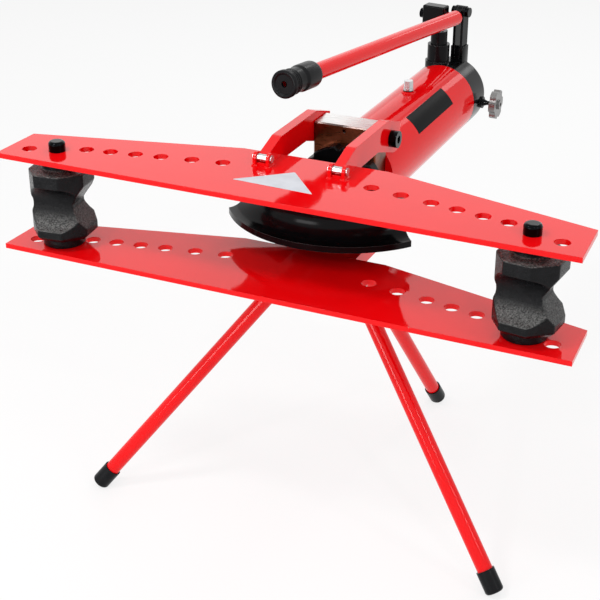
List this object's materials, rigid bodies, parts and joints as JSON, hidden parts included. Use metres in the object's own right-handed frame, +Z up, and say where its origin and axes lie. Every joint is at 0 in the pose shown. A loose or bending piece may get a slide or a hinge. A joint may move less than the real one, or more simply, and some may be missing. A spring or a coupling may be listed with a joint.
{
  "type": "hydraulic pipe bender",
  "caption": "Free-standing hydraulic pipe bender: hand pump and ram push a grooved die between two drilled wing plates with swivelling pipe shoes, on a tripod.",
  "frame": {"origin": "on the floor under the middle of the machine's overall box", "axes": "+X along the wing plates to the right, +Y from the plates' front edge back to the pump, +Z up"},
  "size_m": [0.91, 0.827, 0.7497],
  "materials": {
    "red_paint": "gloss",
    "machined_steel": "satin",
    "ground_steel": "gloss",
    "zinc_plate": "satin",
    "black_oxide": "satin",
    "black_cast": "satin",
    "black_paint": "satin",
    "grip_rubber": "matt",
    "cap_rubber": "matt",
    "seal_rubber": "matt",
    "bronze": "satin",
    "knob_metal": "satin"
  },
  "bodies": {
    "frame": {"upper_plate": "red_paint", "lower_plate": "red_paint", "hinge_lugs": "red_paint", "hinge_pins": "zinc_plate", "upper_arm_left": "red_paint", "upper_arm_right": "red_paint", "lower_arm_left": "red_paint", "lower_arm_right": "red_paint", "arm_bolts": "black_oxide", "head_block": "machined_steel", "pressure_cylinder": "machined_steel", "guide_bush": "bronze", "rod_wiper": "seal_rubber", "return_spring": "black_oxide", "reservoir_front_cap": "red_paint", "reservoir_tube": "red_paint", "reservoir_seals": "seal_rubber", "filler_washer": "seal_rubber", "pump_body": "black_cast", "pump_barrel": "black_paint", "gland_nut": "black_paint", "plunger_seal": "seal_rubber", "check_balls": "ground_steel", "check_springs": "black_oxide", "fulcrum_links": "black_paint", "fulcrum_pin": "black_oxide", "link_pin": "black_oxide", "leg_bracket": "red_paint", "bracket_screws": "black_oxide", "leg_left": "red_paint", "leg_right": "red_paint", "leg_rear": "red_paint", "leg_cap_left": "cap_rubber", "leg_cap_right": "cap_rubber", "leg_cap_rear": "cap_rubber"},
    "ram": {"ram_rod": "ground_steel", "piston": "machined_steel", "piston_seal": "seal_rubber", "ram_nose": "machined_steel"},
    "die": {"bending_die": "black_cast"},
    "lever": {"lever_tube": "red_paint", "lever_head": "black_paint", "lever_grip": "grip_rubber", "plunger_pin": "black_oxide"},
    "pump_plunger": {"plunger": "ground_steel", "plunger_head": "black_paint"},
    "release_valve": {"release_spindle": "black_oxide", "release_knob": "knob_metal"},
    "filler": {"filler_plug": "zinc_plate"},
    "left_shoe": {"shoe_left": "black_cast"},
    "right_shoe": {"shoe_right": "black_cast"},
    "left_pin": {"roller_pin_left": "black_oxide"},
    "right_pin": {"roller_pin_right": "black_oxide"}
  },
  "joints": [
    {"name": "ram_slide", "type": "slide", "parent": "frame", "child": "ram", "axis": [0, -1, 0], "range_m": [0, 0.24], "deforming": ["return_spring"]},
    {"name": "die_slide", "type": "slide", "parent": "ram", "child": "die", "axis": [0, -1, 0], "range_m": [0, 0.03]},
    {"name": "lever_hinge", "type": "hinge", "parent": "frame", "child": "lever", "pos_m": [0.01398, 0.39725, 0.7004], "axis": [-0.9925, 0.1219, 0], "range_deg": [0, 35]},
    {"name": "plunger_slide", "type": "slide", "parent": "frame", "child": "pump_plunger", "axis": [0, 0, 1], "range_m": [0, 0.0207]},
    {"name": "release_turn", "type": "hinge", "parent": "frame", "child": "release_valve", "pos_m": [0.088, 0.3865, 0.535], "axis": [1, 0, 0], "range_deg": [0, 270]},
    {"name": "filler_turn", "type": "hinge", "parent": "frame", "child": "filler", "pos_m": [0, 0.1635, 0.62], "axis": [0, 0, 1], "range_deg": [0, 360]},
    {"name": "left_shoe_turn", "type": "hinge", "parent": "frame", "child": "left_shoe", "pos_m": [-0.375, -0.3665, 0.545], "axis": [0, 0, 1], "continuous": true},
    {"name": "right_shoe_turn", "type": "hinge", "parent": "frame", "child": "right_shoe", "pos_m": [0.375, -0.3665, 0.545], "axis": [0, 0, 1], "continuous": true},
    {"name": "left_pin_lift", "type": "slide", "parent": "frame", "child": "left_pin", "axis": [0, 0, 1], "range_m": [0, 0.175]},
    {"name": "right_pin_lift", "type": "slide", "parent": "frame", "child": "right_pin", "axis": [0, 0, 1], "range_m": [0, 0.175]}
  ],
  "couplings": [
    {"joint": "plunger_slide", "follows": "lever_hinge", "m_per_rad": 0.0338}
  ]
}
